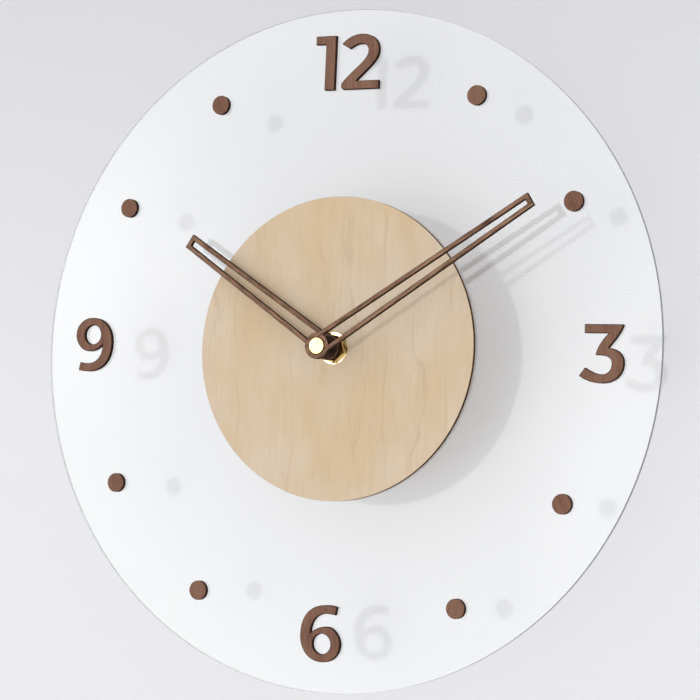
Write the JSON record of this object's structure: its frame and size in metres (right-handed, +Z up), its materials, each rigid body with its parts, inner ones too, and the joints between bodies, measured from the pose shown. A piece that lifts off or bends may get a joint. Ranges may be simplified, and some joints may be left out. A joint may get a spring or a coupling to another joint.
{
  "type": "wall clock",
  "caption": "Round wall clock with a clear dial, a wooden centre disc, wooden numerals, dots and openwork hands, and a quartz movement on a steel hanger behind the dial.",
  "frame": {"origin": "where the hand axis meets the flat back of the movement", "axes": "-Y towards the viewer along the hand axis, +Z up to twelve o'clock, +X to three o'clock"},
  "size_m": [0.3, 0.0391, 0.3],
  "materials": {
    "clear_acrylic": "clear cast sheet, polished",
    "maple": "satin maple with a charred cut edge",
    "walnut": "matt walnut with charred cut edges",
    "brass": "polished",
    "steel": "zinc plated",
    "silicon_iron": "stamped sheet",
    "black_plastic": "moulded, matt",
    "white_plastic": "moulded, satin",
    "rubber": "matt",
    "copper_wire": "enamelled wire",
    "board_laminate": "lacquered laminate",
    "resin": "cast resin",
    "cell_wrap": "plain printed wrap on a steel can",
    "ferrite": "ground magnet"
  },
  "bodies": {
    "clock_body": {"dial_disc": "clear_acrylic", "centre_disc": "maple", "numeral_12_one": "walnut", "numeral_12_two": "walnut", "numeral_3": "walnut", "numeral_6": "walnut", "numeral_9": "walnut", "dot_01": "walnut", "dot_02": "walnut", "dot_04": "walnut", "dot_05": "walnut", "dot_07": "walnut", "dot_08": "walnut", "dot_10": "walnut", "dot_11": "walnut", "hex_nut": "brass", "brass_washer": "brass", "rubber_washer": "rubber", "hanger_plate": "steel", "threaded_sleeve": "brass", "movement_case": "black_plastic", "movement_cover": "black_plastic", "train_plate": "white_plastic", "stator": "silicon_iron", "coil_core": "silicon_iron", "coil_bobbin": "white_plastic", "coil_winding": "copper_wire", "circuit_board": "board_laminate", "quartz_crystal": "steel", "chip_cover": "resin", "cell": "cell_wrap", "positive_contact": "steel", "negative_contact": "steel"},
    "minute_group": {"minute_arbor": "brass", "clutch_spring": "steel", "minute_hand": "walnut", "minute_hand_bush": "brass", "hand_cap": "brass"},
    "hour_group": {"hour_wheel": "black_plastic", "hour_hand": "walnut", "hour_hand_bush": "black_plastic"},
    "minute_wheel_body": {"minute_wheel": "white_plastic"},
    "knob_body": {"setting_knob": "black_plastic"},
    "step_wheel_body": {"step_wheel": "white_plastic"},
    "rotor_body": {"rotor_pinion": "white_plastic", "rotor_magnet": "ferrite"},
    "seconds_wheel_body": {"seconds_wheel": "white_plastic"},
    "third_wheel_body": {"third_wheel": "white_plastic"},
    "centre_wheel_body": {"centre_wheel": "white_plastic"}
  },
  "joints": [
    {"name": "minute_hand_turn", "type": "hinge", "parent": "clock_body", "child": "minute_group", "pos_m": [0, -0.0378, 0], "axis": [0, 1, 0], "continuous": true},
    {"name": "hour_hand_turn", "type": "hinge", "parent": "clock_body", "child": "hour_group", "pos_m": [0, -0.0279, 0], "axis": [0, 1, 0], "continuous": true},
    {"name": "minute_wheel_turn", "type": "hinge", "parent": "clock_body", "child": "minute_wheel_body", "pos_m": [-0.0052, -0.0127, -0.003], "axis": [0, 1, 0], "continuous": true},
    {"name": "setting_knob_turn", "type": "hinge", "parent": "clock_body", "child": "knob_body", "pos_m": [-0.01163, -0.0012, -0.0039], "axis": [0, 1, 0], "continuous": true},
    {"name": "step_wheel_turn", "type": "hinge", "parent": "clock_body", "child": "step_wheel_body", "pos_m": [0.00909, -0.0034, 0.00525], "axis": [0, 1, 0], "continuous": true},
    {"name": "rotor_turn", "type": "hinge", "parent": "clock_body", "child": "rotor_body", "pos_m": [0.00753, -0.0061, 0.01411], "axis": [0, 1, 0], "continuous": true},
    {"name": "seconds_wheel_turn", "type": "hinge", "parent": "clock_body", "child": "seconds_wheel_body", "pos_m": [0, -0.0054, 0], "axis": [0, 1, 0], "continuous": true},
    {"name": "third_wheel_turn", "type": "hinge", "parent": "clock_body", "child": "third_wheel_body", "pos_m": [-0.00721, -0.0074, 0.00721], "axis": [0, 1, 0], "continuous": true},
    {"name": "centre_wheel_turn", "type": "hinge", "parent": "clock_body", "child": "centre_wheel_body", "pos_m": [0, -0.0094, 0], "axis": [0, 1, 0], "continuous": true}
  ],
  "couplings": [
    {"joint": "minute_wheel_turn", "follows": "minute_hand_turn", "ratio": -0.33333},
    {"joint": "hour_hand_turn", "follows": "minute_hand_turn", "ratio": 0.083333},
    {"joint": "setting_knob_turn", "follows": "minute_hand_turn", "ratio": 0.75},
    {"joint": "rotor_turn", "follows": "step_wheel_turn", "ratio": -5},
    {"joint": "seconds_wheel_turn", "follows": "step_wheel_turn", "ratio": -0.16667},
    {"joint": "third_wheel_turn", "follows": "step_wheel_turn", "ratio": 0.022222},
    {"joint": "centre_wheel_turn", "follows": "step_wheel_turn", "ratio": -0.0027778}
  ]
}
